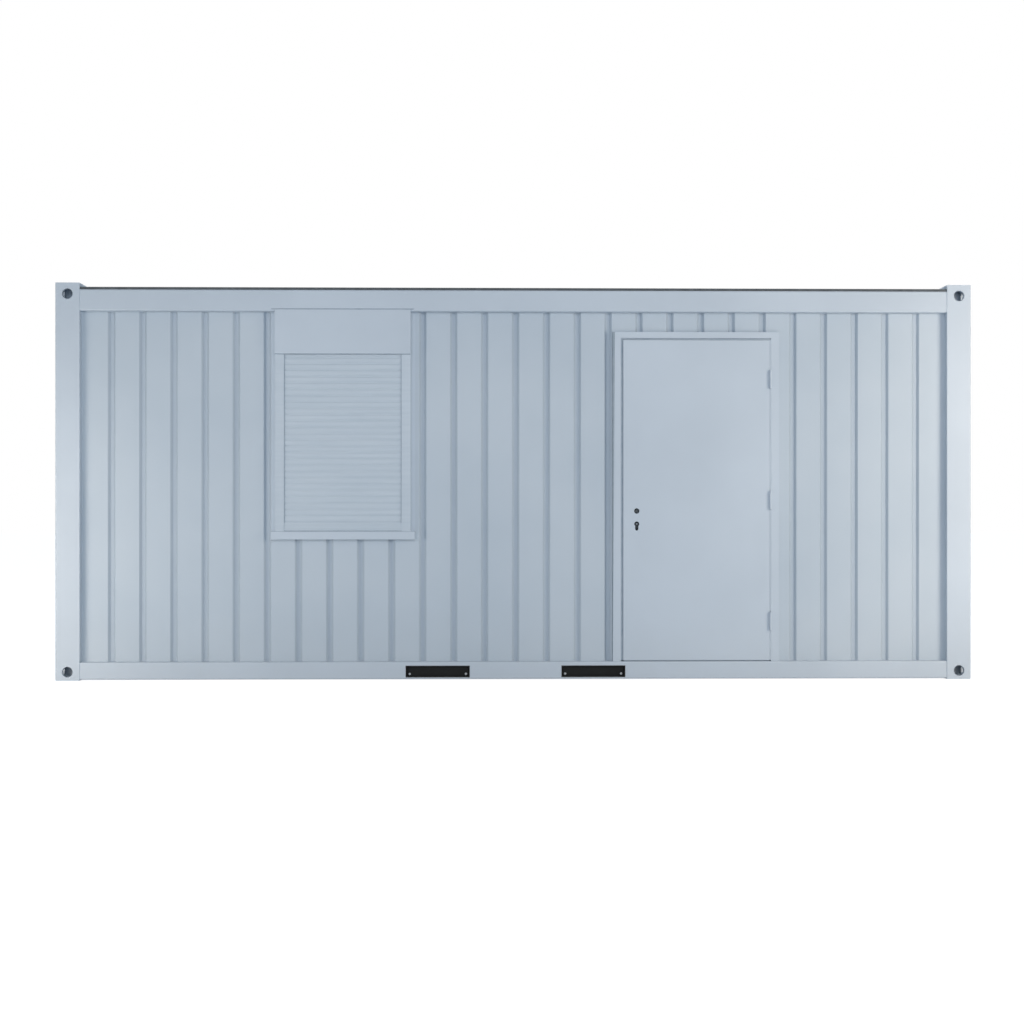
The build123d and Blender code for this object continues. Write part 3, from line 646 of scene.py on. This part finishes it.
def makeLockDetails():  # follower collars, cylinder plugs with their key slots, forend screws
    spec = lockSpec
    low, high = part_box("door_leaf")
    middle = (low.y + high.y) / 2
    x, cylinderZ = spec["x"], spec["cylinderZ"]
    inner, outer, rise = spec["collarInner"], spec["collarOuter"], spec["collarHeight"]
    bright = bmesh.new()
    dark = bmesh.new()
    for side in (-1, 1):
        outward = (0, side, 0)
        collarAt = facing((x, middle + side * spec["ringProud"], spec["followerZ"]), outward)
        collar = [(inner, 0.0), (outer, 0.0), (outer, rise * 0.7), (outer * 0.94, rise), (inner, rise)]
        addRing(dark, collar, collarAt)
        lip = [(spec["lip"], 0.0), (inner, 0.0), (inner, rise * 0.6), (spec["lip"], rise * 0.4)]
        addRing(bright, lip, collarAt)
        plugY = middle + side * spec["cylinderProud"]
        plug = [(spec["plug"], 0.0), (spec["plug"], spec["plugHeight"] * 0.7),
                (spec["plug"] * 0.93, spec["plugHeight"])]
        addLathe(bright, plug, facing((x, plugY, cylinderZ), outward))
        # the key slot is a dark prism just proud of the plug: painted shade for the keyway
        slotFrom = plugY + side * spec["plugHeight"] * 0.5
        slotTo = plugY + side * spec["plugHeight"] * 1.15
        key = [(-1, -0.5), (0.2, -0.5), (0.2, -0.15), (1, -0.15), (1, 0.5), (-1, 0.5)]
        outline = [(x + a * spec["keyWide"] / 2, cylinderZ + b * spec["keyTall"]) for a, b in key]
        addPrism(dark, outline, "y", slotFrom, slotTo)
    centre = (spec["followerZ"] + cylinderZ) / 2
    screw = spec["forendScrew"]
    wide, tall = spec["crossWide"], spec["crossTall"]
    for side in (-1, 1):
        z = centre + side * spec["forendReach"]
        head = [(screw, -spec["screwSink"]), (screw, spec["screwRim"]), (screw * 0.8, spec["screwRise"])]
        addLathe(bright, head, facing((low.x, middle, z), (-1, 0, 0)), 20)
        # the cross recess is a dark raised cross: painted shade for the recess
        cross = chamferedBox(middle - wide, middle + wide, z - tall, z + tall, spec["crossCut"])
        addPrism(dark, cross, "x", low.x - spec["crossRise"], low.x)
    pieceFrom("lockBrightParts", bright, dullSteel, "door")
    pieceFrom("lockDarkCollarsAndSlotShade", dark, blackSteel, "door")


capSpec = {
    "radius": 7.2 * mm,
    "rise": 3.5 * mm,
    "steps": 4,
    "axisX": 1695 * mm,         # the hinges' axis
    "axisY": -1205 * mm,
    "half": 60 * mm,            # half the length of a hinge
}


def makeHingeCaps():  # domed lower ends on the hinge barrels
    spec = capSpec
    low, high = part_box("door_hinge_posts")
    half = spec["half"]
    centres = [low.z + half, (low.z + high.z) / 2, high.z - half]
    dome = []
    for step in range(spec["steps"]):
        angle = math.pi / 2 * step / spec["steps"]
        dome.append((spec["radius"] * math.cos(angle), spec["rise"] * math.sin(angle)))
    mesh = bmesh.new()
    for z in centres:
        addLathe(mesh, dome, facing((spec["axisX"], spec["axisY"], z - half), (0, 0, -1)))
    pieceFrom("hingeCapsLower", mesh, frameEnamel, "container")


shutterSpec = {
    "guideWide": 60 * mm,
    "brushSeen": 5 * mm,        # brush seal past the guide's lip
    "brushUnder": 4 * mm,
    "brushDepth": 2.4 * mm,
    "brushGap": 0.4 * mm,       # between the brushes and the curtain
    "brushCut": 0.4 * mm,
    "dripHeight": 5 * mm,
    "dripDepth": 9 * mm,
    "dripBack": 3 * mm,         # behind the box's front
    "dripInset": 2 * mm,
    "footHeight": 5 * mm,
    "footDepth": 3 * mm,
    "footCut": 0.8 * mm,
    "ribPlace": 14 * mm,        # above and below the end bar's middle
    "ribFoot": 2 * mm,
    "ribTop": 1 * mm,
    "ribProud": 1.2 * mm,
}


def makeShutterSeals():  # brushes in the guides, a drip strip under the box, a rubber foot on the end bar; the grey of the brushes and the drip strip is also painted shade beside the guides and under the box
    spec = shutterSpec
    guideLow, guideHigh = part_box("shutter_guides")
    barLow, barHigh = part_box("shutter_end_bar")
    mesh = bmesh.new()
    y1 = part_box("shutter_curtain")[0].y - spec["brushGap"]
    y0 = y1 - spec["brushDepth"]
    leftEdge = guideLow.x + spec["guideWide"]
    rightEdge = guideHigh.x - spec["guideWide"]
    for x0, x1 in ((leftEdge - spec["brushUnder"], leftEdge + spec["brushSeen"]),
                   (rightEdge - spec["brushSeen"], rightEdge + spec["brushUnder"])):
        addPrism(mesh, chamferedBox(x0, x1, y0, y1, spec["brushCut"]), "z", barHigh.z, guideHigh.z)
    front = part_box("shutter_box")[0].y + spec["dripBack"]
    back = front + spec["dripDepth"]
    under, tip = guideHigh.z, guideHigh.z - spec["dripHeight"]
    drip = [(front, under), (front, under - spec["dripHeight"] * 0.6), (front + spec["dripDepth"] * 0.5, tip),
            (back, tip), (back, under)]
    addPrism(mesh, drip, "x", guideLow.x + spec["dripInset"], guideHigh.x - spec["dripInset"])
    foot = chamferedBox(barLow.y - spec["footDepth"], barLow.y, barLow.z, barLow.z + spec["footHeight"],
                        spec["footCut"])
    addPrism(mesh, foot, "x", leftEdge, rightEdge)
    pieceFrom("shutterSeals", mesh, greySealAndShade, "container")
    bars = bmesh.new()
    groove = (barLow.z + barHigh.z) / 2
    face, proud = barLow.y, barLow.y - spec["ribProud"]
    for z in (groove - spec["ribPlace"], groove + spec["ribPlace"]):
        rib = [(face, z - spec["ribFoot"]), (proud, z - spec["ribTop"]), (proud, z + spec["ribTop"]),
               (face, z + spec["ribFoot"])]
        addPrism(bars, rib, "x", leftEdge, rightEdge)
    pieceFrom("endBarRibs", bars, slatCoat, "container")


beadSpec = {
    "tall": 9 * mm,
    "proud": 1.8 * mm,
    "inset": 6 * mm,
    "plate": 2 * mm,            # thickness of the box's outer plate, which laps over the rail
    "bulge": 3 * mm,
}


def makeBoxSealant():  # a grey bead where the shutter box laps over the top rail, its grey also painted shade along that joint
    spec = beadSpec
    low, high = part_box("shutter_box")
    railFace = low.y + spec["plate"]
    outline = [(railFace, high.z), (railFace - spec["proud"], high.z),
               (railFace - spec["proud"] * 0.8, high.z + spec["bulge"]), (railFace, high.z + spec["tall"])]
    mesh = bmesh.new()
    addPrism(mesh, outline, "x", low.x + spec["inset"], high.x - spec["inset"])
    pieceFrom("boxSealant", mesh, greySealAndShade, "container")


gasketSpec = {
    "wide": 5 * mm,
    "proud": 2 * mm,
    "lap": 14 * mm,             # of the sash over the pane
}


def makeGlassGaskets():  # black gaskets round the pane, on both faces
    spec = gasketSpec
    low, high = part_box("window_glass")
    x0, x1 = low.x + spec["lap"], high.x - spec["lap"]
    z0, z1 = low.z + spec["lap"], high.z - spec["lap"]
    mesh = bmesh.new()
    for y, outward in ((low.y, -1), (high.y, 1)):
        tip = y + outward * spec["proud"]
        for z, side in ((z0, 1), (z1, -1)):
            addPrism(mesh, [(y, z), (tip, z), (y, z + side * spec["wide"])], "x", x0, x1)
        for x, side in ((x0, 1), (x1, -1)):
            addPrism(mesh, [(x, y), (x, tip), (x + side * spec["wide"], y)], "z", z0, z1)
    pieceFrom("glassGaskets", mesh, sealBlack, "container")


handleSpec = {
    "stile": 26 * mm,           # from the sash's edge to the handle
    "plateWide": 28 * mm,
    "plateTall": 62 * mm,
    "plateThick": 9 * mm,
    "plateCut": 5 * mm,
    "neck": 8 * mm,
    "neckReach": 26 * mm,
    "neckFlare": 3 * mm,
    "lever": 112 * mm,
    "leverThick": 9 * mm,
    "leverTop": 9 * mm,
    "leverWaist": 10 * mm,
    "leverEnd": 8 * mm,
}


def makeWindowHandle():  # inside, on the sash's right stile, pointing down
    spec = handleSpec
    low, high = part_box("window_sash")
    x = high.x - spec["stile"]
    z = (low.z + high.z) / 2
    y = high.y
    wide, tall, thick = spec["plateWide"] / 2, spec["plateTall"] / 2, spec["plateThick"]
    mesh = bmesh.new()
    addPrism(mesh, chamferedBox(x - wide, x + wide, z - tall, z + tall, spec["plateCut"]), "y", y, y + thick)
    reach = y + spec["neckReach"]
    neck = [(spec["neck"] * 1.3, 0.0), (spec["neck"], spec["neckFlare"]),
            (spec["neck"], spec["neckReach"] - thick)]
    addLathe(mesh, neck, facing((x, y + thick, z), (0, 1, 0)))
    top, waist, end = spec["leverTop"], spec["leverWaist"], spec["leverEnd"]
    half, foot = z - spec["lever"] * 0.5, z - spec["lever"]
    lever = [(x - top, z + top), (x + top, z + top), (x + waist, half), (x + end, foot), (x - end, foot),
             (x - waist, half)]
    addPrism(mesh, lever, "y", reach, reach + spec["leverThick"])
    pieceFrom("windowHandle", mesh, windowWhite, "container")


roofScrewSpec = {
    "washer": 9 * mm,
    "washerHeight": 1.2 * mm,
    "head": 4.6 * mm,
    "headHeight": 4 * mm,
    "chamfer": 0.8 * mm,
    "rows": 6,
    "rowMargin": 60 * mm,
    "ribs": 21,
    "ribPitch": 260 * mm,
}


def makeRoofScrews():  # a screw with its washer on each rib at each purlin
    spec = roofScrewSpec
    low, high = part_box("roof_sheet")
    mesh = bmesh.new()
    for i in range(spec["ribs"]):
        x = (i - (spec["ribs"] - 1) / 2) * spec["ribPitch"]
        for row in range(spec["rows"]):
            share = row / (spec["rows"] - 1)
            y = low.y + spec["rowMargin"] + share * (high.y - low.y - 2 * spec["rowMargin"])
            addBolt(mesh, facing((x, y, high.z), (0, 0, 1)), spec)
    pieceFrom("roofScrews", mesh, zincSteel, "container")


trimSpec = {
    "board": 10 * mm,           # thickness of the linings
    "cornerX": 2869 * mm,       # the skirting's corners, which are cut a little short
    "cornerY": 1059 * mm,
    "cornerGap": 0.3 * mm,
    "skirtHeight": 60 * mm,
    "skirtThick": 10 * mm,
    "skirtCut": 4 * mm,
    "stripWide": 30 * mm,
    "stripThick": 2.5 * mm,
    "stripTaper": 0.8,
    "stripPlaces": (-2.4, -1.2, 0.0, 1.2, 2.4),
    "frontPlaces": (-2.4, 0.0, 2.4),
}


def skirtOutline(wall, side, floorTop, top):  # a board with its upper edge cut, standing against a wall
    face = wall - side * trimSpec["skirtThick"]
    cut = trimSpec["skirtCut"]
    return [(wall, floorTop), (face, floorTop), (face, top - cut), (face + side * cut, top), (wall, top)]


def stripOutline(place, wall, side):  # a flat cover strip with bevelled sides
    half = trimSpec["stripWide"] / 2
    slim = half * trimSpec["stripTaper"]
    face = wall - side * trimSpec["stripThick"]
    return [(place - half, wall), (place + half, wall), (place + slim, face), (place - slim, face)]


def makeRoomTrim():  # skirting boards, and cover strips over the joints of the boards
    spec = trimSpec
    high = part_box("inner_linings")[1]
    wallX, wallY = high.x - spec["board"], high.y - spec["board"]
    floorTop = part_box("floor_panel")[1].z
    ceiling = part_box("ceiling_panel")[0].z
    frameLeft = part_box("door_jamb_left")[0].x
    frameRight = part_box("door_jamb_right")[1].x
    cornerX, cornerY, gap = spec["cornerX"], spec["cornerY"], spec["cornerGap"]
    top = floorTop + spec["skirtHeight"]
    mesh = bmesh.new()
    runs = [(1, -cornerX, cornerX), (-1, -cornerX, frameLeft), (-1, frameRight, cornerX)]
    for side, start, stop in runs:
        addPrism(mesh, skirtOutline(side * wallY, side, floorTop, top), "x", start + gap, stop - gap)
    for side in (-1, 1):
        addPrism(mesh, skirtOutline(side * wallX, side, floorTop, top), "y", -cornerY + gap, cornerY - gap)
    for side, places in ((1, spec["stripPlaces"]), (-1, spec["frontPlaces"])):
        for x in places:
            addPrism(mesh, stripOutline(x, side * wallY, side), "z", top, ceiling)
    for side in (-1, 1):
        strip = [(x, y) for y, x in stripOutline(0.0, side * wallX, side)]
        addPrism(mesh, strip, "z", top, ceiling)
    stripEnd = wallY - spec["stripThick"]
    for x in spec["stripPlaces"]:
        addPrism(mesh, stripOutline(x, ceiling, 1), "y", -stripEnd, stripEnd)
    pieceFrom("roomTrim", mesh, windowWhite, "container")


makeCoverBolts()
makeDoorSeals()
makeJambShadeStrip()
makeBottomSeal()
makeLockDetails()
makeHingeCaps()
makeShutterSeals()
makeBoxSealant()
makeGlassGaskets()
makeWindowHandle()
makeRoofScrews()
makeRoomTrim()
print("added pieces")


# Floor, backdrop, light and camera

studio = {
    "floorHalf": 60.0,
    "floorDrop": 1 * mm,       # below the castings' undersides
    "floorColour": "#cfd5db",
    "floorLift": 0.8,          # share of white the camera sees in the floor beside its own light
    "worldFill": 0.35,         # strength of the pale surroundings as a light
    "mirrorShare": 0.6,        # share of the white backdrop that shiny surfaces mirror
    "worldTint": "#f3f8ff",
}
softboxes = {  # watts, width and height in m, place, aim, colour
    "frontSoftbox": (247.0, 7.0, 4.0, (-0.3, -9.5, 3.4), (0.0, -1.2, 1.3), "#f4f8ff"),
    "rightSoftbox": (108.0, 1.4, 2.8, (4.9, -3.8, 1.7), (2.0, -1.2, 1.3), "#fff0e0"),
    "leftSoftbox": (44.0, 1.3, 1.6, (-4.2, -3.0, 0.65), (-2.2, -1.2, 0.9), "#fff2e4"),
    "rearSoftbox": (190.0, 7.0, 4.0, (0.6, 9.5, 3.4), (0.0, 1.2, 1.3), "#f4f8ff"),
    "topSoftbox": (110.0, 6.0, 2.0, (0.0, 0.4, 7.0), (0.0, 0.4, 2.6), "#ffffff"),
}


def cameraRays(tree):  # 1 for camera and transmission rays, less for what shiny surfaces mirror
    path = addNode(tree, "ShaderNodeLightPath")
    gloss = addNode(tree, "ShaderNodeMath", {"operation": "MULTIPLY", 1: studio["mirrorShare"]},
                    {0: (path, "Is Glossy Ray")})
    first = addNode(tree, "ShaderNodeMath", {"operation": "MAXIMUM"},
                    {0: (path, "Is Camera Ray"), 1: (gloss, "Value")})
    return addNode(tree, "ShaderNodeMath", {"operation": "MAXIMUM"},
                   {0: (first, "Value"), 1: (path, "Is Transmission Ray")})


def makeFloor():
    half = studio["floorHalf"]
    mesh = bmesh.new()
    corners = [(-half, -half), (half, -half), (half, half), (-half, half)]
    mesh.faces.new([mesh.verts.new((x, y, -studio["floorDrop"])) for x, y in corners])
    data = bpy.data.meshes.new("studioFloor")
    mesh.to_mesh(data)
    mesh.free()
    floor = bpy.data.objects.new("studioFloor", data)
    bpy.context.scene.collection.objects.link(floor)
    # studio paint on a plane: dull, without shine
    material, tree, surface, place = newMaterial("paleFloor", {"Roughness": 0.9, "Specular IOR Level": 0.0})
    surface.inputs["Base Color"].default_value = hexColour(studio["floorColour"])
    seen = cameraRays(tree)
    lift = addNode(tree, "ShaderNodeMath", {"operation": "MULTIPLY", 1: studio["floorLift"]},
                   {0: (seen, "Value")})
    surface.inputs["Emission Color"].default_value = (1, 1, 1, 1)
    tree.links.new(lift.outputs["Value"], surface.inputs["Emission Strength"])
    data.materials.append(material)


def makeWorld():
    world = bpy.data.worlds.new("paleStudio")
    bpy.context.scene.world = world
    world.use_nodes = True
    tree = world.node_tree
    tree.nodes.clear()
    seen = cameraRays(tree)
    strength = addNode(tree, "ShaderNodeMapRange", {"To Min": studio["worldFill"], "To Max": 1.0},
                       {"Value": (seen, "Value")})
    tint = blendColour(tree, (seen, "Value"), studio["worldTint"], "#ffffff")
    light = addNode(tree, "ShaderNodeBackground", {},
                    {"Strength": (strength, "Result"), "Color": (tint, 2)})
    addNode(tree, "ShaderNodeOutputWorld", {}, {"Surface": (light, "Background")})


def addSoftbox(name, watts, across, tall, place, aim, colour):
    data = bpy.data.lights.new(name, "AREA")
    data.shape = "RECTANGLE"
    data.size = across
    data.size_y = tall
    data.energy = watts
    data.color = hexColour(colour)[:3]
    lamp = bpy.data.objects.new(name, data)
    lamp.location = place
    lamp.rotation_euler = (Vector(aim) - Vector(place)).to_track_quat("-Z", "Y").to_euler()
    lamp.visible_camera = False
    bpy.context.scene.collection.objects.link(lamp)


view = {
    "distance": 9.0,           # m from the front castings' face
    "footX": -0.1765,          # m, where the camera stands along the front
    "height": 1.1105,          # m, level with the picture's middle
    "yaw": 0.97,               # degrees to the right
    "metresPerPixel": 0.006611,
    "picture": 1024,
    "sensor": 36.0,
}


def makeCamera():
    data = bpy.data.cameras.new("photoCamera")
    data.sensor_width = view["sensor"]
    data.lens = view["distance"] / view["metresPerPixel"] / view["picture"] * view["sensor"]
    data.clip_end = 300.0
    camera = bpy.data.objects.new("photoCamera", data)
    camera.location = (view["footX"], cadBounds[0][1] - view["distance"], view["height"])
    camera.rotation_euler = (math.radians(90), 0, -math.radians(view["yaw"]))
    bpy.context.scene.collection.objects.link(camera)
    bpy.context.scene.camera = camera


makeFloor()
makeWorld()
for name, values in softboxes.items():
    addSoftbox(name, *values)
makeCamera()
bpy.context.scene.view_settings.view_transform = "Standard"
print("studio ready")
